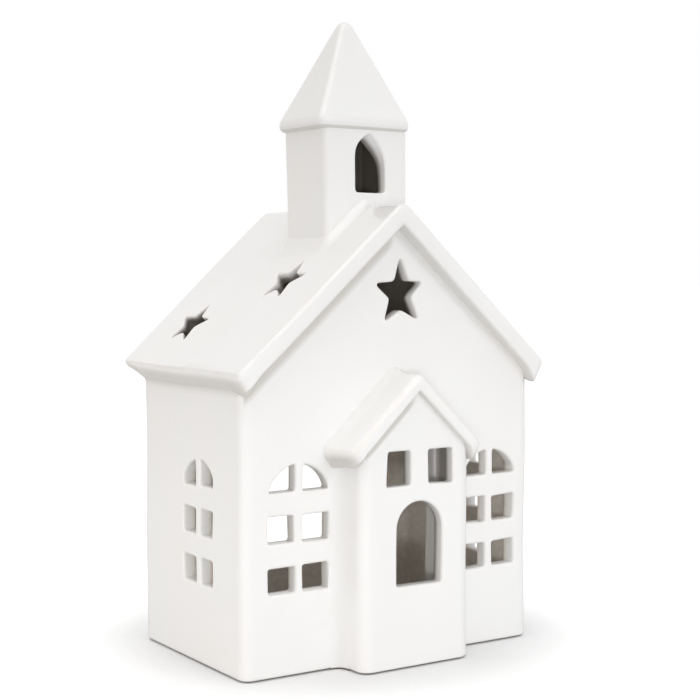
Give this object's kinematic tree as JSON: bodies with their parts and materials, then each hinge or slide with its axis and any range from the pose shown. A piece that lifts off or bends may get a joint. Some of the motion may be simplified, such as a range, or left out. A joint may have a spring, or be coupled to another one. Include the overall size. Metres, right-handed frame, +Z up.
{
  "type": "ceramic christmas village house",
  "caption": "White glazed ceramic chapel with a steeple, pitched roof and porch, pierced with windows and stars and lit from inside by an LED tealight.",
  "frame": {"origin": "middle of the bounding box on the surface the house stands on", "axes": "+Z up, the door and gable star face -Y, +X to the right as seen from the front"},
  "size_m": [0.1142, 0.0918, 0.202],
  "materials": {
    "white_glaze": "clear gloss over white",
    "white_plastic": "satin",
    "flame_plastic": "translucent satin",
    "lamp_resin": "clear gloss",
    "steel": "bright",
    "copper_alloy": "bright",
    "board": "satin",
    "grey_plastic": "satin"
  },
  "bodies": {
    "house": {"house_walls": "white_glaze", "main_roof": "white_glaze", "porch_walls": "white_glaze", "porch_roof": "white_glaze", "steeple_tower": "white_glaze", "spire": "white_glaze"},
    "tealight": {"tealight_case": "white_plastic", "tealight_base": "white_plastic", "coin_cell": "steel", "circuit_board": "board", "side_contact": "copper_alloy", "leaf_contact": "copper_alloy", "lamp": "lamp_resin", "flame": "flame_plastic"},
    "door": {"battery_door": "grey_plastic"},
    "switch": {"switch_slider": "grey_plastic"}
  },
  "joints": [
    {"name": "house_lift", "type": "slide", "parent": "house", "child": "tealight", "axis": [0, 0, -1], "range_m": [0, 0.036]},
    {"name": "switch_slide", "type": "slide", "parent": "tealight", "child": "switch", "axis": [0, 1, 0], "range_m": [0, 0.0024]},
    {"name": "battery_door_turn", "type": "hinge", "parent": "tealight", "child": "door", "pos_m": [0.0034, -0.00395, 0], "axis": [0, 0, 1], "range_deg": [0, 45]}
  ]
}
